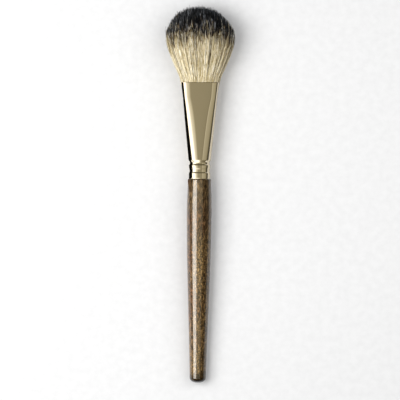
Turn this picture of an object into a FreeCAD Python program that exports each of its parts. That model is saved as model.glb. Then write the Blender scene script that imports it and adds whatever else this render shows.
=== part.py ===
import FreeCAD, Part
import math
import os
import random
from types import SimpleNamespace

import Sketcher

Vector = FreeCAD.Vector

doc = FreeCAD.newDocument("makeup_brush")
sheet = doc.addObject("Spreadsheet::Sheet", "Sizes")

# Driving sizes in millimetres. The handle's heights run along the brush from its butt,
# the ferrule's from the shoulder that it is seated on, and the hair's from the mouth.
driving_sizes = {
    # turned handle
    "handle_length": 98.0,
    "butt_radius": 3.88,
    "butt_crown": 2.4,
    "butt_face": 2.6,
    "butt_flare": 0.6,
    "butt_run": 27.0,
    "belly_radius": 5.95,
    "belly_height": 83.0,
    "belly_run": 27.0,
    "shoulder_radius": 5.6,
    "shoulder_run": 6.0,
    "shoulder_round": 0.4,
    "tenon_length": 16.0,
    "tenon_chamfer": 0.6,
    "tenon_gap": 0.06,
    # pressed ferrule
    "ferrule_length": 46.4,
    "ferrule_wall": 0.38,
    "collar_radius": 5.15,
    "lip_round": 0.2,
    "lower_crimp_height": 3.4,
    "lower_crimp_reach": 0.8,
    "lower_crimp_depth": 0.36,
    "upper_crimp_height": 7.3,
    "upper_crimp_reach": 1.15,
    "upper_crimp_depth": 0.48,
    "cone_height": 9.7,
    "cone_radius": 5.42,
    "waist_half_width": 6.88,
    "waist_half_thickness": 5.06,
    "press_run": 7.5,
    "press_half_width": 8.34,
    "press_half_thickness": 4.72,
    "mouth_half_width": 9.35,
    "mouth_half_thickness": 4.7,
    # hair and the glue that holds its roots
    "root_depth": 18.0,
    "root_gap": 0.12,
    "glue_gap": 0.05,
    "hair_length": 35.8,
    "hair_belly_height": 21.5,
    "hair_half_width": 15.9,
    "hair_half_thickness": 9.5,
    "lock_depth": 0.55,
    "tip_stagger": 1.2,
}
for row, (alias, value) in enumerate(driving_sizes.items(), start=1):
    sheet.set(f"A{row}", alias.replace("_", " "))
    sheet.set(f"B{row}", str(value))
    sheet.setAlias(f"B{row}", alias)
doc.recompute()


class Length:
    """A length that carries both its value and the sheet formula that it follows."""

    def __init__(self, value, formula):
        self.value = value
        self.formula = formula

    def __add__(self, other):
        return Length(self.value + other.value, f"({self.formula} + {other.formula})")

    def __sub__(self, other):
        return Length(self.value - other.value, f"({self.formula} - {other.formula})")

    def __mul__(self, share):
        return Length(self.value * share, f"({self.formula} * {share:.6f})")


size = SimpleNamespace(
    **{alias: Length(float(sheet.get(alias)), f"Sizes.{alias}") for alias in driving_sizes}
)
nought = Length(0.0, "0")

# Heights and radii that several pieces share
seat = size.handle_length
tenon_top = seat + size.tenon_length
mouth = seat + size.ferrule_length
root_foot = mouth - size.root_depth
cone_foot = seat + size.cone_height
press_height = mouth - size.press_run
tenon_radius = size.collar_radius - size.ferrule_wall - size.tenon_gap

# How far the control points of a quarter oval stand along their tangents, as shares of its
# half sizes: first the side's, then the face's. Both at 0.5523 make a circle or an ellipse.
round_fullness = (0.5523, 0.5523)
waist_fullness = (0.58, 0.6)
press_fullness = (0.78, 0.9)
mouth_fullness = (0.72, 0.84)
hair_fullness = (0.58, 0.58)

oval_sides = 32
cone_steps = 4
lock_count = 22
lock_seed = 5


def cubic_weights(share):
    """What each of four control points gives to a curve, at a share of the way along it."""
    rest = 1 - share
    return rest ** 3, 3 * rest ** 2 * share, 3 * rest * share ** 2, share ** 3


def weighted_sum(values, weights, start):
    total = start
    for value, weight in zip(values, weights):
        if weight:
            total = total + value * weight
    return total


def curve(points, passes):
    """The straight passes of a cubic curve from the first of four control points."""
    found = []
    for step in range(1, passes + 1):
        weights = cubic_weights(step / passes)
        found.append(tuple(weighted_sum(axis, weights, nought) for axis in zip(*points)))
    return found


def oval_share(fullness, turn):
    """A corner of an oval of half sizes 1, once round as turn goes from 0 to 1."""
    side, face = fullness
    quarter, share = divmod(4 * (turn % 1), 1)
    if quarter in (1, 3):
        share = 1 - share
    weights = cubic_weights(share)
    x = weighted_sum((1, 1, face, 0), weights, 0)
    y = weighted_sum((0, side, 1, 1), weights, 0)
    return (x if quarter in (0, 3) else -x), (y if quarter in (0, 1) else -y)


def oval_corners(half_width, half_thickness, fullness, turns):
    corners = []
    for turn in turns:
        x, y = oval_share(fullness, turn)
        corners.append((half_width * x, half_thickness * y))
    return corners


def cone_sections(inset, turns):
    """The ferrule above its crimps, as heights and ovals inset from its outside: round at the
    foot, bending through the waist halfway to the pressed oval, then straight to the mouth."""
    foot, waist, press, rim = (
        oval_corners(half_width - inset, half_thickness - inset, fullness, turns)
        for half_width, half_thickness, fullness in (
            (size.cone_radius, size.cone_radius, round_fullness),
            (size.waist_half_width, size.waist_half_thickness, waist_fullness),
            (size.press_half_width, size.press_half_thickness, press_fullness),
            (size.mouth_half_width, size.mouth_half_thickness, mouth_fullness),
        )
    )
    sections = []
    for step in range(cone_steps + 1):
        share = step / cone_steps
        through_waist = 4 * share * (1 - share)
        weights = (
            (1 - share) ** 2 - through_waist / 4, through_waist, share ** 2 - through_waist / 4
        )
        corners = [
            tuple(weighted_sum(axis, weights, nought) for axis in zip(*three))
            for three in zip(foot, waist, press)
        ]
        sections.append((cone_foot * (1 - share) + press_height * share, corners))
    sections.append((mouth, rim))
    return sections


def new_body(label):
    body = doc.addObject("PartDesign::Body", label)
    body.Label = label
    return body


def new_sketch(body, name, plane_role, height=nought):
    """A sketch on one of the body's own planes, lifted along the plane's normal."""
    plane = next(feature for feature in body.Origin.OriginFeatures if feature.Role == plane_role)
    sketch = body.newObject("Sketcher::SketchObject", name)
    sketch.AttachmentSupport = [(plane, "")]
    sketch.MapMode = "FlatFace"
    if height is not nought:
        sketch.setExpression("AttachmentOffset.Base.z", height.formula)
    return sketch


def pin(sketch, side, point):
    """Hold the end of a side at two lengths, or on the axis where a length is nought."""
    for kind, axis, length in zip(("DistanceX", "DistanceY"), (-2, -1), point):
        if abs(length.value) < 1e-9:
            sketch.addConstraint(Sketcher.Constraint("PointOnObject", side, 2, axis))
        else:
            constraint = Sketcher.Constraint(kind, -1, 1, side, 2, length.value)
            index = sketch.addConstraint(constraint)
            sketch.setExpression(f"Constraints[{index}]", length.formula)


def outline(sketch, corners):
    """A closed outline of straight sides."""
    places = [Vector(x.value, y.value, 0) for x, y in corners]
    sides = [
        sketch.addGeometry(Part.LineSegment(places[number - 1], place), False)
        for number, place in enumerate(places)
    ]
    for number, corner in enumerate(corners):
        following = sides[(number + 1) % len(sides)]
        sketch.addConstraint(Sketcher.Constraint("Coincident", sides[number], 2, following, 1))
        pin(sketch, sides[number], corner)


def revolve(body, kind, name, corners):
    """Turn an outline of radius against height about the brush's axis."""
    sketch = new_sketch(body, f"{name}_profile", "XZ_Plane")
    outline(sketch, corners)
    feature = body.newObject(f"PartDesign::{kind}", name)
    feature.Profile = sketch
    feature.ReferenceAxis = (sketch, ["V_Axis"])
    feature.Angle = 360.0
    doc.recompute()


def pressed_cone(body, kind, name, inset):
    """Loft the body through the cone's sections."""
    turns = [side / oval_sides for side in range(oval_sides)]
    sketches = []
    for number, (height, corners) in enumerate(cone_sections(inset, turns)):
        sketch = new_sketch(body, f"{name}_section_{number}", "XY_Plane", height)
        outline(sketch, corners)
        sketches.append(sketch)
    feature = body.newObject(f"PartDesign::{kind}", name)
    feature.Profile = sketches[0]
    feature.Sections = sketches[1:]
    feature.Ruled = True
    doc.recompute()


def trim(body, name, height, above):
    """Cut away what lies above a height, or below it."""
    sketch = new_sketch(body, f"{name}_plane", "XY_Plane", height)
    reach = size.mouth_half_width * 2
    outline(sketch, [
        (reach, reach), (reach * -1, reach), (reach * -1, reach * -1), (reach, reach * -1)
    ])
    pocket = body.newObject("PartDesign::Pocket", name)
    pocket.Profile = sketch
    pocket.Type = "ThroughAll"
    pocket.Reversed = above
    doc.recompute()


def rolled_groove(wall, height, reach, depth, upper_wall, passes):
    """A groove rolled into a wall, from just below it to just above it."""
    floor = wall - depth
    low, high = height - reach, height + reach
    lower_bend, upper_bend = height - reach * 0.5, height + reach * 0.5
    return [
        (wall, low),
        *curve([(wall, low), (wall, lower_bend), (floor, lower_bend), (floor, height)], passes),
        *curve(
            [(floor, height), (floor, upper_bend), (upper_wall, upper_bend), (upper_wall, high)],
            passes,
        ),
    ]


def crimps(wall, upper_wall, passes):
    """The two crimps as they run through the ferrule's faces and the tenon inside it."""
    return [
        *rolled_groove(
            wall, seat + size.lower_crimp_height,
            size.lower_crimp_reach, size.lower_crimp_depth, wall, passes,
        ),
        *rolled_groove(
            wall, seat + size.upper_crimp_height,
            size.upper_crimp_reach, size.upper_crimp_depth, upper_wall, passes,
        ),
    ]


def make_handle():
    """One turned piece: crowned butt, swelling grip, shoulder and a tenon with two grooves."""
    body = new_body("handle")
    butt_edge = (size.butt_radius, size.butt_crown)
    belly = (size.belly_radius, size.belly_height)
    shoulder = (size.shoulder_radius, seat - size.shoulder_round)
    shoulder_face = (size.shoulder_radius - size.shoulder_round, seat)
    crown = curve(
        [(nought, nought), (size.butt_face, nought),
         (size.butt_radius, size.butt_crown * 0.45), butt_edge],
        passes=4,
    )
    taper = curve(
        [butt_edge, (size.butt_radius + size.butt_flare, size.butt_crown + size.butt_run),
         (size.belly_radius, size.belly_height - size.belly_run), belly],
        passes=4,
    )
    swell = curve(
        [belly, (size.belly_radius, size.belly_height + size.shoulder_run),
         (size.shoulder_radius, seat - size.shoulder_run), shoulder],
        passes=3,
    )
    shoulder_round = curve(
        [shoulder, (size.shoulder_radius, seat - size.shoulder_round * 0.45),
         (size.shoulder_radius - size.shoulder_round * 0.55, seat), shoulder_face],
        passes=2,
    )
    revolve(body, "Revolution", "handle_turning", [
        (nought, nought), *crown, *taper, *swell, *shoulder_round,
        (tenon_radius, seat),
        *crimps(tenon_radius, tenon_radius, passes=1),
        (tenon_radius, tenon_top - size.tenon_chamfer),
        (tenon_radius - size.tenon_chamfer, tenon_top),
        (nought, tenon_top),
    ])
    return body


def make_ferrule():
    """Thin tube, crimped on to the tenon and pressed from round to a wide oval mouth."""
    body = new_body("ferrule")
    revolve(body, "Revolution", "barrel", [
        (nought, seat),
        (size.collar_radius - size.lip_round, seat),
        (size.collar_radius, seat + size.lip_round),
        *crimps(size.collar_radius, size.cone_radius, passes=3),
        (size.cone_radius, cone_foot),
        (nought, cone_foot),
    ])
    pressed_cone(body, "AdditiveLoft", "pressed_outside", nought)
    bore_radius = size.collar_radius - size.ferrule_wall
    cone_bore = size.cone_radius - size.ferrule_wall
    revolve(body, "Groove", "bore", [
        (nought, seat),
        (bore_radius, seat),
        *crimps(bore_radius, cone_bore, passes=1),
        (cone_bore, cone_foot),
        (nought, cone_foot),
    ])
    pressed_cone(body, "SubtractiveLoft", "pressed_inside", size.ferrule_wall)
    return body


def make_glue_plug():
    """The set glue between the end of the tenon and the roots of the hair."""
    body = new_body("glue_plug")
    pressed_cone(body, "AdditiveLoft", "glue", size.ferrule_wall + size.glue_gap)
    trim(body, "glue_foot", tenon_top, above=False)
    trim(body, "glue_top", root_foot, above=True)
    return body


def make_hair_tuft():
    """All the hair as one fluted body. Its roots fill the ferrule, and outside the mouth it
    flares to a belly and closes in a dome. Each flute is a lock of hair, and the tips of the
    locks are staggered over the dome."""
    chance = random.Random(lock_seed)
    widths = [chance.uniform(0.7, 1.3) for _ in range(lock_count)]
    staggers = [chance.uniform(-1, 1) for _ in range(lock_count)]
    sides_per_lock = 4
    turns = []
    crests = []
    lock_staggers = []
    for lock, (width, stagger) in enumerate(zip(widths, staggers)):
        for side in range(sides_per_lock):
            share = side / sides_per_lock
            turns.append((sum(widths[:lock]) + share * width) / sum(widths))
            crests.append(math.sin(math.pi * share) ** 2)
            lock_staggers.append(stagger)

    rings = []
    roots = cone_sections(size.ferrule_wall + size.root_gap, turns)
    root_z = root_foot.value
    for (low, low_corners), (high, high_corners) in zip(roots, roots[1:]):
        if high.value <= root_z:
            continue
        share = max(0.0, (root_z - low.value) / (high.value - low.value))
        rings.append([
            Vector(
                low_x.value + share * (high_x.value - low_x.value),
                low_y.value + share * (high_y.value - low_y.value),
                low.value + share * (high.value - low.value),
            )
            for (low_x, low_y), (high_x, high_y) in zip(low_corners, high_corners)
        ])

    mouth_z = mouth.value
    belly_z = mouth_z + size.hair_belly_height.value
    tip_z = mouth_z + size.hair_length.value
    inset = (size.ferrule_wall + size.root_gap).value
    mouth_sizes = (size.mouth_half_width.value - inset, size.mouth_half_thickness.value - inset)
    belly_sizes = (size.hair_half_width.value, size.hair_half_thickness.value)

    def hair_ring(half_sizes, height, fullness, depth, stagger):
        """One ring outside the mouth. The flutes are cut into the oval, and not added to it."""
        places = []
        for turn, crest, lock_stagger in zip(turns, crests, lock_staggers):
            x, y = oval_share(fullness, turn)
            valley = depth * (1 - crest)
            places.append(Vector(
                x * (half_sizes[0] - valley),
                y * (half_sizes[1] - valley),
                height + stagger * lock_stagger * crest,
            ))
        rings.append(places)

    flare_steps = 6
    for step in range(flare_steps):
        share = step / flare_steps
        weights = cubic_weights(share)
        flared = weighted_sum((0, 0.38, 1, 1), weights, 0)
        half_sizes = [low + flared * (high - low) for low, high in zip(mouth_sizes, belly_sizes)]
        height = mouth_z + weighted_sum((0, 0.35, 0.72, 1), weights, 0) * (belly_z - mouth_z)
        fullness = [low + share * (high - low) for low, high in zip(mouth_fullness, hair_fullness)]
        hair_ring(half_sizes, height, fullness, size.lock_depth.value * share, 0)
    dome_shares = (0, 0.22, 0.44, 0.62, 0.78, 0.9, 0.97)
    for share in dome_shares:
        weights = cubic_weights(share)
        closing = weighted_sum((1, 1, 0.6, 0), weights, 0)
        half_sizes = [closing * half_size for half_size in belly_sizes]
        height = belly_z + weighted_sum((0, 0.6, 1, 1), weights, 0) * (tip_z - belly_z)
        depth = size.lock_depth.value * closing
        stagger = size.tip_stagger.value * share * (dome_shares[-1] - share) * 4
        hair_ring(half_sizes, height, hair_fullness, depth, stagger)

    # Flat triangles between one ring and the next, and a fan over each end
    places = [place for ring in rings for place in ring]
    around = len(turns)
    facets = []
    for low in range(0, len(places) - around, around):
        for side in range(around):
            following = (side + 1) % around
            facets.append((low + side, low + following, low + around + following))
            facets.append((low + side, low + around + following, low + around + side))
    places.append(Vector(0, 0, root_z))
    places.append(Vector(0, 0, rings[-1][0].z))
    top = (len(rings) - 1) * around
    for side in range(around):
        following = (side + 1) % around
        facets.append((following, side, len(places) - 2))
        facets.append((top + side, top + following, len(places) - 1))
    skin = Part.Shape()
    skin.makeShapeFromMesh((places, facets), 0.001)
    tuft = doc.addObject("Part::Feature", "hair_tuft")
    tuft.Label = "hair_tuft"
    tuft.Shape = Part.makeSolid(skin)
    return tuft


pieces = [make_handle(), make_ferrule(), make_glue_plug(), make_hair_tuft()]

# The brush lies on its flat side. The hair's belly and the rim of the butt touch the surface,
# so its axis climbs towards the hair.
contact_span = (mouth + size.hair_belly_height - size.butt_crown).value
rise = (size.hair_half_thickness - size.butt_radius).value
climb = math.degrees(math.asin(rise / contact_span))
lying = FreeCAD.Placement(Vector(0, 0, 0), FreeCAD.Rotation(Vector(1, 0, 0), -90 + climb))
bounds = FreeCAD.BoundBox()
for piece in pieces:
    piece.Placement = lying
    bounds.add(piece.Shape.optimalBoundingBox(False, False))
lying.Base = Vector(-bounds.Center.x, -bounds.Center.y, -bounds.ZMin)
for piece in pieces:
    piece.Placement = lying
doc.recompute()

for item in doc.Objects:
    if "Invalid" in item.State or "Error" in item.State:
        raise RuntimeError(f"{item.Label} failed: {item.State}")
for piece in pieces:
    if piece.Shape.isNull() or not piece.Shape.isValid():
        raise RuntimeError(f"{piece.Label} has no valid shape")

os.makedirs("parts", exist_ok=True)
for piece in pieces:
    piece.Shape.exportStep(f"parts/{piece.Label}.step")
    box = piece.Shape.optimalBoundingBox(False, False)
    print(
        f"{piece.Label}: {box.XLength:.2f} x {box.YLength:.2f} x {box.ZLength:.2f} mm, "
        f"lowest {box.ZMin:.3f}, {piece.Shape.Volume:.1f} mm3, {len(piece.Shape.Solids)} solid"
    )
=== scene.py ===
import math

import bpy
import numpy as np
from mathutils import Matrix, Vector


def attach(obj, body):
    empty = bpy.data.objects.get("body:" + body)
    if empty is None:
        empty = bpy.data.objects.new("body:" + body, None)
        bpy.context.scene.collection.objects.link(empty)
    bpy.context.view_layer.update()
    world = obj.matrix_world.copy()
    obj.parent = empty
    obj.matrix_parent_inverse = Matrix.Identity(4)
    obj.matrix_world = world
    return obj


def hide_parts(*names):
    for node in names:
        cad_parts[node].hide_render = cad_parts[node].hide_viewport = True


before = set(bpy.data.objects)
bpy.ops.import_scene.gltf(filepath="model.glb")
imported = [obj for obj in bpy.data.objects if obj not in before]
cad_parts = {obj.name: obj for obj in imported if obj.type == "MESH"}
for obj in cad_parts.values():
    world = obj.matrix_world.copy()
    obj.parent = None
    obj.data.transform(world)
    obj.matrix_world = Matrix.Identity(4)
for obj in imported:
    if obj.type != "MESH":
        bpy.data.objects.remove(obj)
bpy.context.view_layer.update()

mm = 0.001


# Pieces are modelled upright with the butt at the origin, then laid down as the solids lie
brushPose = {
    "climbDegrees": 1.96985,
    "buttPlace": (-0.0000046, -0.0901324, 0.0037953),
}


def onlySelect(piece):
    bpy.ops.object.select_all(action="DESELECT")
    piece.select_set(True)
    bpy.context.view_layer.objects.active = piece


def addPiece(name, addPrimitive, **settings):
    bpy.ops.object.select_all(action="DESELECT")
    addPrimitive(location=(0, 0, 0), **settings)
    piece = bpy.context.active_object
    piece.name = name
    return piece


def faceOutwards(piece):
    onlySelect(piece)
    bpy.ops.object.mode_set(mode="EDIT")
    bpy.ops.mesh.select_all(action="SELECT")
    bpy.ops.mesh.normals_make_consistent(inside=False)
    bpy.ops.object.mode_set(mode="OBJECT")


def applyModifier(piece, kind, **settings):
    onlySelect(piece)
    modifier = piece.modifiers.new(kind.lower(), kind)
    for name, value in settings.items():
        setattr(modifier, name, value)
    bpy.ops.object.modifier_apply(modifier=modifier.name)


def layDown(piece):
    onlySelect(piece)
    piece.rotation_euler = (math.radians(brushPose["climbDegrees"] - 90), 0, 0)
    piece.location = brushPose["buttPlace"]
    bpy.ops.object.transform_apply(location=True, rotation=True, scale=True)


def finishPiece(piece, material, smoothAngle):
    onlySelect(piece)
    bpy.ops.object.shade_smooth_by_angle(angle=math.radians(smoothAngle))
    piece.data.materials.clear()
    piece.data.materials.append(material)
    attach(piece, "root")


def cubicPoint(poles, share):  # share may be an array, and so are the two values then
    rest = 1 - share
    weights = (rest ** 3, 3 * rest ** 2 * share, 3 * rest * share ** 2, share ** 3)
    return tuple(sum(w * pole[axis] for w, pole in zip(weights, poles)) for axis in (0, 1))


def cubicRun(poles, steps):
    return [cubicPoint(poles, step / steps) for step in range(1, steps + 1)]


def ovalPoint(fullness, turn):  # one point of an oval of half sizes 1, turn from 0 to 1
    side, face = fullness
    quarter, share = divmod(4 * (turn % 1), 1)
    if quarter in (1, 3):
        share = 1 - share
    x, y = cubicPoint([(1, 0), (1, side), (face, 1), (0, 1)], share)
    return (x if quarter in (0, 3) else -x), (y if quarter in (0, 1) else -y)


# Nodes
def plugIn(tree, node, sockets):  # each socket gets a link from another node, or else a constant
    for name, source in sockets.items():
        if isinstance(source, bpy.types.NodeSocket):
            tree.links.new(source, node.inputs[name])
        else:
            node.inputs[name].default_value = source


def addNode(tree, kind, place, sockets=(), **settings):
    node = tree.nodes.new(kind)
    node.location = place
    for name, value in settings.items():
        setattr(node, name, value)
    plugIn(tree, node, dict(sockets))
    return node


def addCoords(tree, place):
    return addNode(tree, "ShaderNodeTexCoord", place).outputs["Object"]


def addStretch(tree, place, vector, scale):
    return addNode(tree, "ShaderNodeMapping", place, {"Vector": vector, "Scale": scale}).outputs[0]


def addNoise(tree, place, vector, scale, detail=2.0, roughness=0.5):
    return addNode(tree, "ShaderNodeTexNoise", place,
                   {"Vector": vector, "Scale": scale, "Detail": detail, "Roughness": roughness})


def addMath(tree, place, operation, *values):
    return addNode(tree, "ShaderNodeMath", place, enumerate(values), operation=operation).outputs[0]


def addScaled(tree, place, vector, scale):
    return addNode(tree, "ShaderNodeVectorMath", place, {0: vector, "Scale": scale},
                   operation="SCALE").outputs[0]


def addSplit(tree, place, vector):
    return addNode(tree, "ShaderNodeSeparateXYZ", place, {0: vector}).outputs


def addRange(tree, place, value, span, result=(0.0, 1.0)):
    return addNode(tree, "ShaderNodeMapRange", place, {
        "Value": value, "From Min": span[0], "From Max": span[1], "To Min": result[0], "To Max": result[1],
    }).outputs["Result"]


def addMix(tree, place, fac, a, b, mode="MIX"):
    return addNode(tree, "ShaderNodeMix", place, {"Factor": fac, "A": a, "B": b},
                   data_type="RGBA", blend_type=mode).outputs["Result"]


def addBump(tree, place, height, strength, distance):
    return addNode(tree, "ShaderNodeBump", place,
                   {"Strength": strength, "Distance": distance, "Height": height}).outputs[0]


def colorOf(value):  # from a colour in hex as it shows on the screen, a grey, or three values
    if isinstance(value, str):
        parts = [int(value[i:i + 2], 16) / 255 for i in (0, 2, 4)]
        return tuple(p / 12.92 if p <= 0.04045 else ((p + 0.055) / 1.055) ** 2.4 for p in parts)
    return (value,) * 3 if isinstance(value, float) else value


def addRamp(tree, place, fac, stops):
    ramp = addNode(tree, "ShaderNodeValToRGB", place, {"Fac": fac})
    elements = ramp.color_ramp.elements
    while len(elements) > 1:
        elements.remove(elements[-1])
    elements[0].position = stops[0][0]
    elements[0].color = (*colorOf(stops[0][1]), 1)
    for position, color in stops[1:]:
        elements.new(position).color = (*colorOf(color), 1)
    return ramp.outputs["Color"]


def newMaterial(name, kind="ShaderNodeBsdfPrincipled"):
    material = bpy.data.materials.new(name)
    material.use_nodes = True
    tree = material.node_tree
    tree.nodes.clear()
    shader = addNode(tree, kind, (600, 0))
    addNode(tree, "ShaderNodeOutputMaterial", (900, 0), {"Surface": shader.outputs[0]})
    return material, tree, shader


# Hairline scratches and dust, drawn out along the brush, for wood and metal
marksSet = {
    "detail": 4.0, "roughness": 0.65, "sharpen": (0.45, 0.75),
    "cloudScale": 90.0, "cloudDetail": 3.0,
}


def makeFineMarks():
    s = marksSet
    group = bpy.data.node_groups.new("fineMarks", "ShaderNodeTree")
    for direction, names in (("INPUT", ("Scale", "Stretch", "Amount")), ("OUTPUT", ("Marks", "Cloud"))):
        for name in names:
            group.interface.new_socket(name, in_out=direction, socket_type="NodeSocketFloat")
    given = addNode(group, "NodeGroupInput", (-900, 0)).outputs
    coords = addCoords(group, (-900, 300))
    squeeze = addNode(group, "ShaderNodeCombineXYZ", (-700, 120), {"X": 1.0, "Y": given["Stretch"], "Z": 1.0})
    stretched = addNode(group, "ShaderNodeVectorMath", (-500, 220), {0: coords, 1: squeeze.outputs[0]},
                        operation="MULTIPLY")
    lines = addNoise(group, (-300, 220), stretched.outputs[0], given["Scale"], s["detail"], s["roughness"])
    sharp = addRange(group, (-80, 220), lines.outputs["Fac"], s["sharpen"])
    marks = addMath(group, (140, 220), "MULTIPLY", sharp, given["Amount"])
    cloud = addNoise(group, (-300, -120), coords, s["cloudScale"], s["cloudDetail"])
    addNode(group, "NodeGroupOutput", (700, 0), {"Marks": marks, "Cloud": cloud.outputs["Fac"]})
    return group


fineMarks = makeFineMarks()


def addMarks(tree, place, scale, stretch, amount):
    return addNode(tree, "ShaderNodeGroup", place, {"Scale": scale, "Stretch": stretch, "Amount": amount},
                   node_tree=fineMarks).outputs


# Handle
handleSet = {
    "length": 98.0,
    "buttRadius": 3.88, "buttCrown": 2.4, "buttFace": 2.6, "buttFlare": 0.6, "buttRun": 27.0,
    "bellyRadius": 5.95, "bellyHeight": 83.0, "bellyRun": 27.0,
    "shoulderRadius": 5.6, "shoulderRun": 6.0, "shoulderRound": 0.4, "roundShare": 0.55,
    "tenonRadius": 4.2, "tenonLength": 15.9, "tenonChamfer": 0.5,
    "buttSteps": 16, "shaftSteps": 26, "neckSteps": 10, "shoulderSteps": 6, "around": 112,
    "weld": 0.002, "smoothAngle": 38,
    "bandStretch": (60, 30, 60), "bandDetail": 3.0,
    "bandColors": ((0.30, "583422"), (0.44, "4b3824"), (0.56, "5f4c30"), (0.70, "251b12")),
    "swirlScale": 260.0, "swirlReach": (0.0022, 0.0022, 0.0022),
    "grainStretch": (2100, 300, 2100), "grainDetail": 4.0, "grainRoughness": 0.62, "grainShare": 0.9,
    "grainTones": ((0.38, (0.1, 0.08, 0.06)), (0.46, (0.42, 0.38, 0.34)), (0.53, (1.0, 0.98, 0.95)),
                   (0.63, (2.4, 2.35, 2.2))),
    "eyeScale": 1150.0, "eyeSpan": (0.0, -0.03), "eyeShare": (0.08, 1.0),
    "eyeTones": ((0.14, (0.12, 0.09, 0.06)), (0.32, (0.62, 0.58, 0.52)), (0.55, (1.9, 1.84, 1.66))),
    # painted shade: colour and gleam darken over the last few millimetres of the crowned end
    "endSpan": (-0.0895, -0.083), "endShadeTones": (0.02, 1.0),
    "marks": (1800.0, 0.12, 0.06), "roughness": 0.36,
    "gleam": (1.0, 0.84, 0.59, 1), "gleamShare": 0.3,
    "lacquer": {"IOR": 1.5, "Specular IOR Level": 0.6,
                "Coat Weight": 1.0, "Coat Roughness": 0.04, "Coat IOR": 1.55},
}


def turnPiece(name, profile, around, weld):  # a profile of radius and height, spun about the axis
    piece = addPiece(name, bpy.ops.mesh.primitive_plane_add, size=mm)
    bpy.ops.object.mode_set(mode="EDIT")
    bpy.ops.mesh.select_all(action="SELECT")
    bpy.ops.mesh.merge(type="CENTER")
    lastRadius, lastHeight = 0.0, 0.0
    for step, (radius, height) in enumerate(profile):
        move = ((radius - lastRadius) * mm, 0, (height - lastHeight) * mm)
        if step == 0:
            bpy.ops.transform.translate(value=move)
        else:
            bpy.ops.mesh.extrude_region_move(TRANSFORM_OT_translate={"value": move})
        lastRadius, lastHeight = radius, height
    bpy.ops.mesh.select_all(action="SELECT")
    bpy.ops.mesh.spin(steps=around, angle=2 * math.pi, center=(0, 0, 0), axis=(0, 0, 1))
    bpy.ops.mesh.select_all(action="SELECT")
    bpy.ops.mesh.remove_doubles(threshold=weld)
    bpy.ops.mesh.normals_make_consistent(inside=False)
    bpy.ops.object.mode_set(mode="OBJECT")
    return piece


def makeLacqueredWood():
    s = handleSet
    material, tree, shader = newMaterial("lacqueredBurl")
    coords = addCoords(tree, (-1500, 0))
    # slow bands of colour along the handle
    longMap = addStretch(tree, (-1300, 300), coords, s["bandStretch"])
    bands = addNoise(tree, (-1100, 300), longMap, 1.0, s["bandDetail"])
    bandColor = addRamp(tree, (-880, 300), bands.outputs["Fac"], s["bandColors"])
    # grain: fine streaks that wander along the handle
    swirl = addNoise(tree, (-1300, -60), coords, s["swirlScale"])
    drift = addNode(tree, "ShaderNodeVectorMath", (-1100, -60),
                    {0: swirl.outputs["Color"], 1: s["swirlReach"], 2: coords},
                    operation="MULTIPLY_ADD").outputs[0]
    grainMap = addStretch(tree, (-900, 60), drift, s["grainStretch"])
    grain = addNoise(tree, (-700, 60), grainMap, 1.0, s["grainDetail"], s["grainRoughness"])
    grainTone = addRamp(tree, (-500, 60), grain.outputs["Fac"], s["grainTones"])
    # burl eyes: small dark pores in the lower part, where the grain breaks up
    eyes = addNode(tree, "ShaderNodeTexVoronoi", (-900, -380), {"Vector": drift, "Scale": s["eyeScale"]})
    eyeTone = addRamp(tree, (-680, -380), eyes.outputs["Distance"], s["eyeTones"])
    along = addSplit(tree, (-900, -620), coords)["Y"]
    burl = addRange(tree, (-680, -620), along, s["eyeSpan"], s["eyeShare"])
    withGrain = addMix(tree, (-260, 160), s["grainShare"], bandColor, grainTone, "MULTIPLY")
    withEyes = addMix(tree, (-60, 60), burl, withGrain, eyeTone, "MULTIPLY")
    # painted shade: colour and gleam darken towards the crowned end
    paintedEndShade = addRange(tree, (-300, -620), along, s["endSpan"], s["endShadeTones"])
    color = addScaled(tree, (160, 60), withEyes, paintedEndShade)
    marks = addMarks(tree, (-160, -300), *s["marks"])["Marks"]
    # the fibres under the lacquer gleam where the grain is light
    gleam = addMix(tree, (0, -460), s["gleamShare"], s["gleam"], grainTone, "MULTIPLY")
    plugIn(tree, shader, {
        "Base Color": color,
        "Roughness": addMath(tree, (120, -240), "ADD", marks, s["roughness"]),
        # the gleam takes the same painted shade at the crowned end
        "Specular Tint": addScaled(tree, (160, -460), gleam, paintedEndShade),
        **s["lacquer"],
    })
    return material


def makeHandle():
    s = handleSet
    seat, bend = s["length"], s["roundShare"]
    crown, belly = s["buttCrown"], s["bellyHeight"]
    buttRadius, bellyRadius, shoulderRadius = s["buttRadius"], s["bellyRadius"], s["shoulderRadius"]
    roundOff = s["shoulderRound"]
    tenonTop = seat + s["tenonLength"]
    profile = [
        (0.0, 0.0),
        *cubicRun([(0, 0), (s["buttFace"], 0), (buttRadius, crown * (1 - bend)), (buttRadius, crown)],
                  s["buttSteps"]),
        *cubicRun([(buttRadius, crown), (buttRadius + s["buttFlare"], crown + s["buttRun"]),
                   (bellyRadius, belly - s["bellyRun"]), (bellyRadius, belly)], s["shaftSteps"]),
        *cubicRun([(bellyRadius, belly), (bellyRadius, belly + s["shoulderRun"]),
                   (shoulderRadius, seat - s["shoulderRun"]), (shoulderRadius, seat - roundOff)],
                  s["neckSteps"]),
        *cubicRun([(shoulderRadius, seat - roundOff), (shoulderRadius, seat - roundOff * (1 - bend)),
                   (shoulderRadius - roundOff * bend, seat), (shoulderRadius - roundOff, seat)],
                  s["shoulderSteps"]),
        (s["tenonRadius"], seat),
        (s["tenonRadius"], tenonTop - s["tenonChamfer"]),
        (s["tenonRadius"] - s["tenonChamfer"], tenonTop),
        (0.0, tenonTop),
    ]
    handle = turnPiece("turnedHandle", profile, s["around"], s["weld"] * mm)
    layDown(handle)
    finishPiece(handle, makeLacqueredWood(), s["smoothAngle"])
    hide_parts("handle")
    return handle


handle = makeHandle()
print("handle turned and lacquered:", len(handle.data.polygons), "faces")


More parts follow.
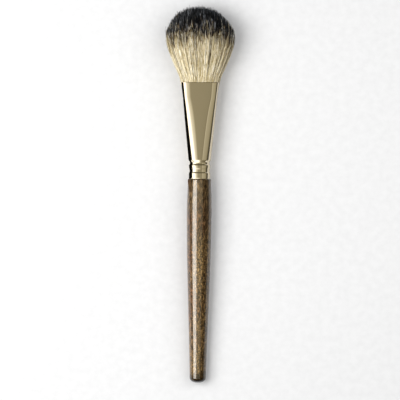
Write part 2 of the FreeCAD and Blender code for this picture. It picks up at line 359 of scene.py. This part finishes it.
# Ferrule. A crimp is its height, its reach down and up, and its depth
ferruleSet = {
    "seat": 98.0, "length": 46.4, "wall": 0.38,
    "collarRadius": 5.15, "lipRound": 0.2, "lipBend": 0.3,
    "lowerCrimp": (3.55, 0.85, 2.9, 0.31), "upperCrimp": (7.45, 1.0, 2.15, 0.42),
    "crimpBend": 0.5, "crimpSteps": 8,
    "coneHeight": 9.7, "coneRadius": 5.42, "pressRun": 7.5,
    "waist": (6.88, 5.06), "waistFullness": (0.6, 0.84), "creaseRate": 7,
    "press": (8.25, 4.72, (0.7, 0.92)),
    "mouth": (9.2, 4.7, (0.75, 0.8)), "mouthTurnIn": 0.06,
    "mouthShares": (0.02, 0.06, 0.25, 0.5, 0.75, 0.93, 0.97),
    "around": 128, "coneRows": 26,
    "rimRound": 0.11, "rimSteps": 3, "rimAngle": 60, "smoothAngle": 50,
    "gold": (0.95, 0.84, 0.63, 1), "warmGold": (0.94, 0.81, 0.58, 1),
    "marks": (2600.0, 0.06, 0.03), "roughness": 0.05,
}
roundFullness = (0.5523, 0.5523)


def ovalSection(halfWidth, halfThickness, fullness, turns):
    return [(halfWidth * x, halfThickness * y) for x, y in (ovalPoint(fullness, t) for t in turns)]


def between(low, high, share):
    return tuple(a + share * (b - a) for a, b in zip(low, high))


def crimpRows(wall, crimp, upperWall):
    height, reachDown, reachUp, depth = crimp
    bend, steps = ferruleSet["crimpBend"], ferruleSet["crimpSteps"]
    floor = wall - depth
    low, high = height - reachDown, height + reachUp
    lowBend, highBend = height - reachDown * bend, height + reachUp * bend
    return [
        (wall, low),
        *cubicRun([(wall, low), (wall, lowBend), (floor, lowBend), (floor, height)], steps),
        *cubicRun([(floor, height), (floor, highBend), (upperWall, highBend), (upperWall, high)], steps),
    ]


def coneSection(share, turns):  # from the round foot through the waist to the pressed oval
    s = ferruleSet
    through = 4 * share * (1 - share)
    weights = ((1 - share) ** 2 - through / 4, through, share ** 2 - through / 4)
    foot = (s["coneRadius"], s["coneRadius"])
    sizes = [sum(w * size[axis] for w, size in zip(weights, (foot, s["waist"], s["press"])))
             for axis in (0, 1)]
    # the flat faces widen slowly up the cone, and quickly just below the crease
    fullness = between(roundFullness, s["waistFullness"], share)
    fullness = between(fullness, s["press"][2], share ** s["creaseRate"])
    return ovalSection(*sizes, fullness, turns)


def ferruleRows(turns):  # heights above the seat, each with its outline
    s = ferruleSet
    collar, cone, lip = s["collarRadius"], s["coneRadius"], s["lipRound"]
    radii = [
        (collar - lip, 0.0), (collar - lip * s["lipBend"], lip * s["lipBend"]), (collar, lip),
        *crimpRows(collar, s["lowerCrimp"], collar), *crimpRows(collar, s["upperCrimp"], cone),
    ]
    rows = [(height, ovalSection(radius, radius, roundFullness, turns)) for radius, height in radii]
    pressHeight = s["length"] - s["pressRun"]
    for step in range(s["coneRows"] + 1):
        share = step / s["coneRows"]
        height = s["coneHeight"] + share * (pressHeight - s["coneHeight"])
        rows.append((height, coneSection(share, turns)))
    press = ovalSection(*s["press"], turns)
    rim = ovalSection(*s["mouth"], turns)
    for share in s["mouthShares"]:
        outline = [between(p, r, share) for p, r in zip(press, rim)]
        rows.append((pressHeight + share * s["pressRun"], outline))
    # the very edge of the mouth turns in a little
    width, thickness, fullness = s["mouth"]
    turnIn = s["mouthTurnIn"]
    rows.append((s["length"], ovalSection(width - turnIn, thickness - turnIn, fullness, turns)))
    return rows


def raiseTube(name, around, rows):  # a ring of unit radius, extruded by one for each row
    tube = addPiece(name, bpy.ops.mesh.primitive_circle_add, vertices=around, radius=1)
    bpy.ops.object.mode_set(mode="EDIT")
    bpy.ops.mesh.select_all(action="SELECT")
    for _ in range(rows - 1):
        bpy.ops.mesh.extrude_region_move(TRANSFORM_OT_translate={"value": (0, 0, 1)})
    bpy.ops.object.mode_set(mode="OBJECT")
    return tube


def turnOf(vertex):  # how far round the ring a vertex stands, from 0 to 1
    return (math.atan2(vertex.co.y, vertex.co.x) / (2 * math.pi)) % 1


def makeGoldMetal():
    s = ferruleSet
    material, tree, shader = newMaterial("polishedGold")
    marks = addMarks(tree, (-300, -100), *s["marks"])
    plugIn(tree, shader, {
        "Base Color": addMix(tree, (0, 200), marks["Cloud"], s["gold"], s["warmGold"]),
        "Roughness": addMath(tree, (0, -60), "ADD", marks["Marks"], s["roughness"]),
        "Metallic": 1.0,
    })
    return material


def makeFerrule():
    s = ferruleSet
    around = s["around"]
    ferrule = raiseTube("pressedFerrule", around, len(ferruleRows([0])))
    rows = ferruleRows([step / around for step in range(around)])
    for vertex in ferrule.data.vertices:
        height, outline = rows[round(vertex.co.z)]
        x, y = outline[round(turnOf(vertex) * around) % around]
        vertex.co = (x * mm, y * mm, (s["seat"] + height) * mm)
    faceOutwards(ferrule)
    centre = Vector((0, 0, (s["seat"] + s["length"] / 2) * mm))
    face = ferrule.data.polygons[0]
    if face.normal.dot(face.center - centre) < 0:  # an open tube may come out inside out
        ferrule.data.flip_normals()
    applyModifier(ferrule, "SOLIDIFY", thickness=s["wall"] * mm, offset=-1.0, use_even_offset=True)
    applyModifier(ferrule, "BEVEL", width=s["rimRound"] * mm, segments=s["rimSteps"],
                  limit_method="ANGLE", angle_limit=math.radians(s["rimAngle"]))
    layDown(ferrule)
    finishPiece(ferrule, makeGoldMetal(), s["smoothAngle"])
    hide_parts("ferrule")
    return ferrule


ferrule = makeFerrule()
print("ferrule crimped and pressed:", len(ferrule.data.polygons), "faces")


# Glue plug, sealed inside the ferrule
glueSet = {
    "lumpScale": 400.0, "colors": ((0.35, "9c8a5a"), (0.65, "d3c18c")),
    "bumpStrength": 0.4, "bumpDepth": 0.0003, "roughness": 0.6,
}


def makeSetGlue():
    s = glueSet
    material, tree, shader = newMaterial("setGlue")
    lumps = addNoise(tree, (-500, 0), addCoords(tree, (-700, 0)), s["lumpScale"]).outputs["Fac"]
    plugIn(tree, shader, {
        "Base Color": addRamp(tree, (-280, 100), lumps, s["colors"]),
        "Normal": addBump(tree, (0, -200), lumps, s["bumpStrength"], s["bumpDepth"]),
        "Roughness": s["roughness"],
    })
    return material


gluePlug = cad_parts["glue_plug"]
gluePlug.data.materials.clear()
gluePlug.data.materials.append(makeSetGlue())
print("glue plug given its finish")


# Hair. The two curves have poles of height and of half size, each from 0 to 1
hairSet = {
    "mouth": 144.4, "rootInset": 0.5, "rootDepth": 6.0,
    "length": 35.8, "bellyHeight": 21.5, "halfWidth": 15.9, "halfThickness": 9.5,
    "fullness": (0.58, 0.58),
    "flareCurve": ((0, 0), (0.33, 0.42), (0.7, 1), (1, 1)), "flareSteps": 200,
    "domeCurve": ((0, 1), (0.6, 1), (1, 0.56), (1, 0)), "domeSteps": 300,
    "strands": 3800, "perPiece": 6500, "pieces": 4, "seed": 12, "rimShare": 0.55, "rimDepth": 0.04,
    "strandLift": 0.2, "strandBow": 0.008, "hairBow": 0.004, "strandSpread": 0.01,
    "strayShare": 0.4, "straySpread": 0.028, "gather": (0.62, 0.15), "gatherPull": 0.8,
    "rootHeight": -2.5, "tipDrop": 0.75, "tipSpread": 0.7, "shortShare": 0.2, "shortDrop": 4.0, "lean": 0.9,
    "hairWidth": 0.14, "tipWidth": 0.05, "widthFrom": 0.7, "widthSpread": 0.6,
    "levels": (0.0, 0.2, 0.4, 0.6, 0.8, 1.0), "smoothAngle": 180,
    "dyeHeight": 22.4, "dyeDroop": 3.2, "dyeSlope": 0.7, "strandDye": 1.9, "hairDye": 0.6,
    "lowDyeShare": 0.12, "lowDye": (1.5, 5.0), "highDyeShare": 0.25, "highDye": 4.5,
    "undyedShare": 0.07, "undyed": (1, 8, 1.5),
}
coreSet = {
    "shrink": 0.86, "topShare": 0.955, "rootClosing": 6, "poleReach": 1e-4,
    "segments": 64, "rings": 48, "domeSteps": 200,
    "streakStretch": (900, 60, 900), "streakDetail": 3.0, "ragged": 0.008, "dyeSpan": (0.074, 0.084),
    # the pale end is a darker tan than the hairs over it: painted shade of the tuft's depth, seen between
    # strands
    "colors": ((0.0, "c9bb90"), (0.5, "6f6044"), (1.0, "1d1c1b")),
    "bumpStrength": 0.5, "bumpDepth": 0.0004, "roughness": 0.8, "smoothAngle": 60,
}
looseSet = {
    "count": 90, "rootHeight": 4.0, "topSpread": 9, "stand": (0.94, 0.06, 0.1), "standCurve": 1.5,
    "closeIn": 0.35, "closeRun": 14, "radius": 0.035, "taper": 0.6, "belowDye": 14.0, "seedFrom": 0.5,
}
# Along a hair the colours run from its dyed tip (0) to its pale foot (1)
hairFinish = {
    "alongSpan": (-14.0, 26.0),
    "dye": ((0.0, "1b1d1f"), (0.32, "201f1e"), (0.35, "3c3128"), (0.378, "94805c"), (0.40, "f8f5ec"),
            (0.75, "f9f7f0"), (0.93, "f2eee2"), (1.0, "ece6d6")),
    "hairShade": ((0.0, "c8bb96"), (0.3, "eee7d2"), (0.55, "fdfbf4"), (1.0, "ffffff")),
    "strandShade": ((0.0, "423820"), (0.10, "6a5c3a"), (0.24, "aa9c70"), (0.42, "fbf7ea"), (1.0, "ffffff")),
    "greyShade": ((0.0, 0.2), (0.5, 0.65), (0.75, (1.6, 1.6, 1.62)), (1.0, 11.0)),
    "fleckStretch": (400, 1.2, 0.42),
    # painted glints and shade along the hairs, in the dye and in the pale part
    "dyedGlintsAndShade": ((0.38, 0.35), (0.5, 0.9), (0.62, 3.2)),
    "paleGlintsAndShade": ((0.38, "b5a57a"), (0.46, "f4eedd"), (0.6, 1.12)),
    "inDye": ((0.325, 1.0), (0.355, 0.0)),
    "sheenSpan": (0.33, 0.42), "sheen": (0.0, 0.3),
    "fibre": {"Sheen Roughness": 0.4, "Roughness": 0.5, "Specular IOR Level": 0.4},
}


def flareSize(above):  # half sizes of the tuft at heights above the mouth, as arrays
    s = hairSet
    heights, flares = cubicPoint(s["flareCurve"], np.linspace(0, 1, s["flareSteps"]))
    flare = np.interp(np.clip(above, 0, s["bellyHeight"]) / s["bellyHeight"], heights, flares)
    mouthWide = ferruleSet["mouth"][0] - s["rootInset"]
    mouthThick = ferruleSet["mouth"][1] - s["rootInset"]
    return (mouthWide + flare * (s["halfWidth"] - mouthWide),
            mouthThick + flare * (s["halfThickness"] - mouthThick))


def domeHeight(reach):  # how high the dome stands above the mouth, at a share of its half size
    s = hairSet
    rise, closing = cubicPoint(s["domeCurve"], np.linspace(0, 1, s["domeSteps"]))
    up = np.interp(reach, closing[::-1], rise[::-1])
    return s["bellyHeight"] + up * (s["length"] - s["bellyHeight"])


def readAttribute(tree, place, name):
    return addNode(tree, "ShaderNodeAttribute", place, attribute_name=name).outputs["Fac"]


def makeHairMaterial():
    s = hairFinish
    material, tree, shader = newMaterial("twoToneHair")
    belowDye = readAttribute(tree, (-1300, 200), "belowDye")
    seed = readAttribute(tree, (-1300, 0), "hairSeed")
    strand = readAttribute(tree, (-1300, -200), "strandSeed")
    along = addRange(tree, (-900, 160), belowDye, s["alongSpan"])
    dye = addRamp(tree, (-640, 240), along, s["dye"])
    # each hair, and each strand of hairs, lighter or darker than its neighbours
    hairShade = addRamp(tree, (-640, -60), seed, s["hairShade"])
    strandShade = addRamp(tree, (-640, -320), strand, s["strandShade"])
    pale = addMix(tree, (-300, -120), 1.0, hairShade, strandShade, "MULTIPLY")
    # in the dye the same strands show as greys
    greyShade = addRamp(tree, (-300, -420), strand, s["greyShade"])
    # painted glints and shade: flecks along each hair, lighter where hairs would cross and catch the light,
    # darker between
    spot = addNode(tree, "ShaderNodeCombineXYZ", (-1100, -460), {"X": strand, "Y": seed, "Z": belowDye})
    drawnOut = addStretch(tree, (-1000, -460), spot.outputs[0], s["fleckStretch"])
    glintNoise = addNoise(tree, (-900, -560), drawnOut, 1.0).outputs["Fac"]
    dyedGlintsAndShade = addRamp(tree, (-640, -640), glintNoise, s["dyedGlintsAndShade"])
    greyWithGlints = addMix(tree, (-180, -560), 1.0, greyShade, dyedGlintsAndShade, "MULTIPLY")
    paleGlintsAndShade = addRamp(tree, (-640, -840), glintNoise, s["paleGlintsAndShade"])
    paleWithGlints = addMix(tree, (-180, -120), 1.0, pale, paleGlintsAndShade, "MULTIPLY")
    inDye = addRamp(tree, (-300, 460), along, s["inDye"])
    shade = addMix(tree, (-60, -160), inDye, paleWithGlints, greyWithGlints)
    plugIn(tree, shader, {
        "Base Color": addMix(tree, (200, 100), 1.0, dye, shade, "MULTIPLY"),
        "Sheen Weight": addRange(tree, (200, -300), along, s["sheenSpan"], s["sheen"]),
        **s["fibre"],
    })
    return material


def makeCoreMaterial():
    s = coreSet
    material, tree, shader = newMaterial("hairCore")
    coords = addCoords(tree, (-1100, 0))
    streakMap = addStretch(tree, (-900, 0), coords, s["streakStretch"])
    streaks = addNoise(tree, (-700, 0), streakMap, 1.0, s["streakDetail"]).outputs["Fac"]
    height = addSplit(tree, (-900, 260), coords)["Y"]
    ragged = addMath(tree, (-500, 260), "MULTIPLY_ADD", streaks, s["ragged"], height)
    along = addRange(tree, (-300, 260), ragged, s["dyeSpan"])
    # painted shade: the undyed part of the core is darker than the hairs over it
    plugIn(tree, shader, {
        "Base Color": addRamp(tree, (-80, 260), along, s["colors"]),
        "Normal": addBump(tree, (200, -200), streaks, s["bumpStrength"], s["bumpDepth"]),
        "Roughness": s["roughness"],
    })
    return material


def makeHairCore():  # a plain body just under the hairs, so that no light shows through
    s, tuft = coreSet, hairSet
    core = addPiece("hairCore", bpy.ops.mesh.primitive_uv_sphere_add,
                    segments=s["segments"], ring_count=s["rings"], radius=1)
    lowest, top = -tuft["rootDepth"], tuft["length"] * s["topShare"]
    reaches = np.linspace(0, 1, s["domeSteps"])
    domeHeights = domeHeight(reaches)
    for vertex in core.data.vertices:
        up = (vertex.co.z + 1) / 2  # 0 at the roots, 1 at the tip
        around = math.hypot(vertex.co.x, vertex.co.y)
        height = lowest + (top - lowest) * up
        width, thick = flareSize(height)
        reach = s["shrink"]
        if around < s["poleReach"]:
            reach = 0.0
        elif height < 0:
            reach = min(reach, around * s["rootClosing"])
        elif height > tuft["bellyHeight"]:
            reach *= np.interp(-height / s["topShare"], -domeHeights, reaches)
        x, y = ovalPoint(tuft["fullness"], turnOf(vertex))
        vertex.co = (x * width * reach * mm, y * thick * reach * mm, (tuft["mouth"] + height) * mm)
    layDown(core)
    finishPiece(core, makeCoreMaterial(), s["smoothAngle"])
    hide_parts("hair_tuft")


def makeSpike():  # one hair as a thin three-sided spike, standing from 0 to 1
    spike = addPiece("oneHair", bpy.ops.mesh.primitive_circle_add, vertices=3, radius=1)
    bpy.ops.object.mode_set(mode="EDIT")
    bpy.ops.mesh.select_all(action="SELECT")
    levels = hairSet["levels"]
    for low, high in zip(levels, levels[1:]):
        bpy.ops.mesh.extrude_region_move(TRANSFORM_OT_translate={"value": (0, 0, high - low)})
    bpy.ops.object.mode_set(mode="OBJECT")
    places = np.array([v.co[:] for v in spike.data.vertices])
    faces = np.array([p.vertices[:] for p in spike.data.polygons])
    bpy.data.objects.remove(spike)
    return places, faces


def placeOnOval(turns):
    return np.array([ovalPoint(hairSet["fullness"], t) for t in turns])


def gatherStrands(chance):  # each strand: a place in a disc of radius 1, its reach, and its own seeds
    s = hairSet
    count = s["strands"]
    reach = np.sqrt(chance.random(count))
    rim = 1 - s["rimDepth"] * chance.random(count)
    reach = np.where(chance.random(count) < s["rimShare"], rim, reach)
    place = placeOnOval(chance.random(count)) * reach[:, None]
    lift = chance.normal(0, s["strandLift"], count)
    # the dye reaches lower down on some strands, and stops higher up on others
    dye = chance.normal(0, s["strandDye"], count)
    lower = s["lowDye"][0] + s["lowDye"][1] * chance.random(count)
    dye = dye - lower * (chance.random(count) < s["lowDyeShare"])
    higher = s["highDye"] * chance.random(count)
    dye = dye + higher * (chance.random(count) < s["highDyeShare"])
    return {
        "place": place, "reach": reach, "lift": lift, "dye": dye,
        "bow": chance.normal(0, s["strandBow"], (count, 2)),
        "seed": chance.random(count),
    }


def growHairs(name, count, chance, strands, spike, material):
    s = hairSet
    places, faces = spike
    up = places[:, 2]
    strand = chance.integers(0, s["strands"], count)
    # the outermost hairs end at the belly, and the inner ones reach up to the dome
    top = domeHeight(strands["reach"][strand]) + strands["lift"][strand] - s["tipDrop"]
    top = top + chance.normal(0, s["tipSpread"], count)
    top = top - (chance.random(count) < s["shortShare"]) * chance.random(count) * s["shortDrop"]
    heights = s["rootHeight"] + up[None, :] * (top - s["rootHeight"])[:, None]
    wide, thick = flareSize(heights)
    atFoot, atTip = s["gather"]
    gathered = atFoot + (atTip - atFoot) * up[None, :]
    offset = chance.normal(0, s["strandSpread"], (count, 2))
    bow = strands["bow"][strand] + chance.normal(0, s["hairBow"], (count, 2))
    stray = chance.normal(0, s["straySpread"], (count, 2)) * (chance.random((count, 1)) < s["strayShare"])
    swell = np.sin(up * math.pi)[None, :]
    centre = [
        strands["place"][strand, axis][:, None]
        + offset[:, axis][:, None] * (1 - gathered * s["gatherPull"])
        + bow[:, axis][:, None] * swell + stray[:, axis][:, None] * up[None, :] ** 2
        for axis in (0, 1)
    ]
    width = s["hairWidth"] * (s["widthFrom"] + s["widthSpread"] * chance.random((count, 1)))
    taper = (1 - up) + up * s["tipWidth"] / s["hairWidth"]
    twist = chance.random((count, 1)) * 2 * math.pi
    corner = np.arctan2(places[:, 1], places[:, 0])[None, :] + twist
    radius = width * 0.5 * np.sqrt(taper)[None, :]
    lean = s["lean"] * (np.clip(heights, 0, None) / s["length"]) ** 3
    x = centre[0] * wide - lean + np.cos(corner) * radius
    y = centre[1] * thick + np.sin(corner) * radius
    # how far each point is below the line where the dye stops
    across = strands["place"][strand, 0][:, None]
    droop = s["dyeDroop"] * across ** 2 + s["dyeSlope"] * across
    shift = (strands["dye"][strand] + chance.normal(0, s["hairDye"], count))[:, None]
    least, spread, power = s["undyed"]
    undyed = (chance.random(count) < s["undyedShare"]) * (least + spread * chance.random(count) ** power)
    belowDye = s["dyeHeight"] - droop + shift + undyed[:, None] - heights
    return addHairMesh(name, np.stack([x, y, s["mouth"] + heights], axis=2), faces, material, {
        "belowDye": belowDye.reshape(-1),
        "hairSeed": np.repeat(chance.random(count), len(places)),
        "strandSeed": np.repeat(strands["seed"][strand], len(places)),
    })


def growLooseHairs(chance, spike, material):  # a few hairs that stand off the tuft
    s, belly = looseSet, hairSet["bellyHeight"]
    places, faces = spike
    count, up = s["count"], places[:, 2]
    turn = placeOnOval(chance.random(count))
    top = belly + chance.random(count) * s["topSpread"]
    heights = s["rootHeight"] + up[None, :] * (top - s["rootHeight"])[:, None]
    wide, thick = flareSize(heights)
    inside, least, spread = s["stand"]
    out = inside + (least + spread * chance.random((count, 1))) * up[None, :] ** s["standCurve"]
    closing = 1 - s["closeIn"] * np.clip((heights - belly) / s["closeRun"], 0, 1) ** 2
    corner = np.arctan2(places[:, 1], places[:, 0])[None, :]
    radius = s["radius"] * (1 - s["taper"] * up)[None, :]
    x = turn[:, 0:1] * out * wide * closing + np.cos(corner) * radius
    y = turn[:, 1:2] * np.minimum(out, 1.0) * thick * closing + np.sin(corner) * radius
    points = np.stack([x, y, hairSet["mouth"] + heights], axis=2)
    seeds = s["seedFrom"] + (1 - s["seedFrom"]) * chance.random((2, count))
    return addHairMesh("looseHairs", points, faces, material, {
        "belowDye": np.full(count * len(places), s["belowDye"]),
        "hairSeed": np.repeat(seeds[0], len(places)),
        "strandSeed": np.repeat(seeds[1], len(places)),
    })


def addHairMesh(name, points, faces, material, attributes):
    count, perHair = points.shape[:2]
    firstPoints = (np.arange(count) * perHair)[:, None, None]
    allFaces = (faces[None, :, :] + firstPoints).reshape(-1, faces.shape[1])
    mesh = bpy.data.meshes.new(name)
    mesh.from_pydata((points.reshape(-1, 3) * mm).tolist(), [], allFaces.tolist())
    hairs = bpy.data.objects.new(name, mesh)
    bpy.context.collection.objects.link(hairs)
    for attributeName, values in attributes.items():
        attribute = mesh.attributes.new(attributeName, "FLOAT", "POINT")
        attribute.data.foreach_set("value", values.astype(np.float32))
    faceOutwards(hairs)
    layDown(hairs)
    finishPiece(hairs, material, hairSet["smoothAngle"])
    return hairs


def makeHair():
    s = hairSet
    chance = np.random.default_rng(s["seed"])
    makeHairCore()
    strands = gatherStrands(chance)
    spike = makeSpike()
    material = makeHairMaterial()
    pieces = [growHairs(f"hairs{number + 1}", s["perPiece"], chance, strands, spike, material)
              for number in range(s["pieces"])]
    return pieces + [growLooseHairs(chance, spike, material)]


hairs = makeHair()
print("hair planted:", hairSet["pieces"] * hairSet["perPiece"], "hairs")


# Table
floorSet = {
    "size": 12.0, "tones": ((0.3, 0.802), (0.7, 0.842)), "grainScale": 300.0,
    "roughness": 0.9, "specular": 0.1,
}


def makeFloor():
    s = floorSet
    floor = addPiece("tableTop", bpy.ops.mesh.primitive_plane_add, size=s["size"])
    material, tree, shader = newMaterial("paleTable")
    grain = addNoise(tree, (-500, 0), addCoords(tree, (-700, 0)), s["grainScale"]).outputs["Fac"]
    plugIn(tree, shader, {
        "Base Color": addRamp(tree, (-280, 0), grain, s["tones"]),
        "Roughness": s["roughness"], "Specular IOR Level": s["specular"],
    })
    floor.data.materials.append(material)


# Reflections: a tent and three flags on the table, seen in gloss alone. Tones run from the left
# horizon (0) over the top (0.5) to the right horizon (1), and the spans are shares of the radius
tentSet = {
    "radius": 1.35, "segments": 64, "rings": 32, "warmTint": (1.0, 0.92, 0.62, 1),
    "tones": ((0.0, 0.01), (0.03, 0.02), (0.045, 1.9), (0.21, 1.8), (0.25, 1.1), (0.30, 0.75),
              (0.36, 0.6), (0.40, 0.31), (0.5, 0.3), (0.62, 0.28), (0.645, 0.22), (0.66, 0.52),
              (0.70, 0.42), (0.84, 0.35), (0.92, 0.26), (0.95, 0.08), (1.0, 0.08)),
    "buttTones": ((0.0, 0.2), (0.06, 1.7), (0.42, 1.5), (0.56, 0.4), (0.66, 0.25), (1.0, 0.12)),
    "buttSpan": (-0.6, -0.3), "hairSpan": (0.2, 0.5), "hairTone": (0.12, 0.12, 0.12, 1),
}
# Each flag's tone, and its corners on the table
flagSet = {
    "leftFlag": (0.004, ((-0.008, 0.006), (-0.008, 0.058), (-1.2, 0.12), (-1.2, -0.30))),
    "rightFlag": (0.08, ((0.045, 0.12), (0.045, -0.02), (1.2, -0.45), (1.2, 0.2))),
    # the near flag is grey where the floor lies in the brush's shadow: painted shade in the ferrule's
    # reflection
    "nearShadeFlag": (0.55, ((0.004, 0.06), (0.004, -0.12), (0.045, -0.16), (0.045, 0.12))),
}
flagHeight = 0.0006


def onlyReflected(piece):
    piece.visible_camera = False
    piece.visible_diffuse = False
    piece.visible_shadow = False
    piece.visible_transmission = False


def makeTent():
    s = tentSet
    tent = addPiece("reflectionTent", bpy.ops.mesh.primitive_uv_sphere_add,
                    segments=s["segments"], ring_count=s["rings"], radius=s["radius"])
    material, tree, glow = newMaterial("tentCloth", "ShaderNodeEmission")
    split = addSplit(tree, (-700, 0), addCoords(tree, (-900, 0)))
    lean = addMath(tree, (-500, 0), "ARCTAN2", split["X"], split["Z"])
    across = addRange(tree, (-300, 0), lean, (-math.pi / 2, math.pi / 2))
    tones = addRamp(tree, (-100, 0), across, s["tones"])
    # the butt end of the tent is bright on its left, and the hair end is dim
    buttTones = addRamp(tree, (-100, -300), across, s["buttTones"])
    buttEnd = addRange(tree, (-300, -300), split["Y"], [share * s["radius"] for share in s["buttSpan"]],
                       (1.0, 0.0))
    hairEnd = addRange(tree, (-300, -560), split["Y"], [share * s["radius"] for share in s["hairSpan"]])
    withButt = addMix(tree, (200, -100), buttEnd, tones, buttTones)
    dimmed = addMix(tree, (360, -260), hairEnd, withButt, s["hairTone"])
    # dim tones are warm, bright ones white
    warmth = addMix(tree, (300, 200), dimmed, s["warmTint"], (1, 1, 1, 1))
    plugIn(tree, glow, {"Color": addMix(tree, (500, 0), 1.0, dimmed, warmth, "MULTIPLY")})
    tent.data.materials.append(material)
    onlyReflected(tent)
    return tent


def makeFlags():
    for name, (tone, corners) in flagSet.items():
        flag = addPiece(name, bpy.ops.mesh.primitive_plane_add, size=1)
        for vertex, corner in zip(flag.data.vertices, (3, 0, 2, 1)):
            vertex.co = (*corners[corner], flagHeight)
        material, tree, shader = newMaterial(name)
        plugIn(tree, shader, {
            "Base Color": (tone, tone, tone, 1), "Roughness": 1.0, "Specular IOR Level": 0.0,
        })
        flag.data.materials.append(material)
        onlyReflected(flag)


# Lamps. Bearing 180 is the left and 90 the hair end, and slide moves a lamp along the brush
lampSet = {
    "leftSoftbox": {"bearing": 180, "elevation": 47.0, "distance": 0.6, "size": (0.42, 0.44),
                    "watts": 4.7, "slide": -0.07, "tint": (1.0, 0.98, 0.94)},
    "highSoftbox": {"bearing": 180, "elevation": 57.0, "distance": 0.6, "size": (0.42, 0.44),
                    "watts": 3.25, "gloss": False},
    "buttFill": {"bearing": -80, "elevation": 50.0, "distance": 0.8, "size": (0.7, 0.4),
                 "watts": 0.3, "gloss": False},
    "hairFill": {"bearing": 160, "elevation": 40.0, "distance": 0.34, "size": (0.2, 0.2),
                 "watts": 1.05, "slide": 0.1, "gloss": False},
    "rightFill": {"bearing": 15, "elevation": 52.0, "distance": 0.6, "size": (0.6, 0.6),
                  "watts": 1.5, "gloss": False},
    "overSoftbox": {"bearing": 0, "elevation": 82.0, "distance": 0.6, "size": (0.55, 0.54),
                    "watts": 0.88, "slide": -0.07, "tint": (1.0, 0.92, 0.66), "diffuse": False},
}


def addLamp(name, bearing, elevation, distance, size, watts, slide=0.0, tint=(1, 1, 1),
            gloss=True, diffuse=True):
    data = bpy.data.lights.new(name, "AREA")
    data.shape = "RECTANGLE"
    data.size, data.size_y = size
    data.energy = watts
    data.color = tint
    lamp = bpy.data.objects.new(name, data)
    bpy.context.collection.objects.link(lamp)
    turn, rise = math.radians(bearing), math.radians(elevation)
    outward = Vector((math.cos(turn) * math.cos(rise), math.sin(turn) * math.cos(rise), math.sin(rise)))
    lamp.location = outward * distance + Vector((0, slide, 0))
    lamp.rotation_euler = outward.to_track_quat("Z", "Y").to_euler()
    lamp.visible_glossy = gloss
    lamp.visible_diffuse = diffuse
    return lamp


def makeLamps(tent):
    lamps = {name: addLamp(name, **settings) for name, settings in lampSet.items()}
    # the polished metal mirrors the tent, and the lacquer the left and the upper softbox
    for light, pieces, state in (
        (tent, [ferrule], "INCLUDE"), (lamps["leftSoftbox"], [handle], "INCLUDE"),
        (lamps["overSoftbox"], [handle], "INCLUDE"), (lamps["highSoftbox"], [handle], "EXCLUDE"),
        (lamps["rightFill"], [handle], "EXCLUDE"), (lamps["hairFill"], hairs, "INCLUDE"),
    ):
        listed = bpy.data.collections.new(light.name + "List")
        light.light_linking.receiver_collection = listed
        for number, piece in enumerate(pieces):
            listed.objects.link(piece)
            listed.collection_objects[number].light_linking.link_state = state


# Sky and camera
skySet = {"strength": 0.26, "tint": (1, 1, 1, 1)}
cameraSet = {
    "height": 1.5, "frameWidth": 0.1928, "roll": 0.5, "lookAt": (0.00035, -0.0023),
    "sensorWidth": 36.0, "farthest": 20.0,
}


def makeSky():
    s = skySet
    world = bpy.data.worlds.new("studioSky")
    bpy.context.scene.world = world
    world.use_nodes = True
    tree = world.node_tree
    tree.nodes.clear()
    soft = addNode(tree, "ShaderNodeBackground", (200, 0), {"Color": s["tint"], "Strength": s["strength"]})
    white = addNode(tree, "ShaderNodeBackground", (200, -160), {"Color": s["tint"], "Strength": 1.0})
    ray = addNode(tree, "ShaderNodeLightPath", (-200, 260)).outputs
    seen = addMath(tree, (0, 300), "MAXIMUM", ray["Is Camera Ray"], ray["Is Glossy Ray"])
    seen = addMath(tree, (200, 240), "MAXIMUM", seen, ray["Is Transmission Ray"])
    # the sky lights softly, and is white where a ray sees it
    mix = addNode(tree, "ShaderNodeMixShader", (400, 0), {
        "Fac": seen, 1: soft.outputs[0], 2: white.outputs[0],
    })
    addNode(tree, "ShaderNodeOutputWorld", (600, 0), {"Surface": mix.outputs[0]})


def makeCamera():
    s = cameraSet
    data = bpy.data.cameras.new("overhead")
    data.sensor_width = s["sensorWidth"]
    data.lens = s["sensorWidth"] * s["height"] / s["frameWidth"]
    data.clip_end = s["farthest"]
    camera = bpy.data.objects.new("overhead", data)
    bpy.context.collection.objects.link(camera)
    camera.location = (*s["lookAt"], s["height"])
    camera.rotation_euler = (0, 0, math.radians(s["roll"]))
    bpy.context.scene.camera = camera


makeFloor()
makeFlags()
makeLamps(makeTent())
makeSky()
makeCamera()
bpy.context.scene.view_settings.view_transform = "Standard"
print("studio set")

bpy.context.view_layer.update()
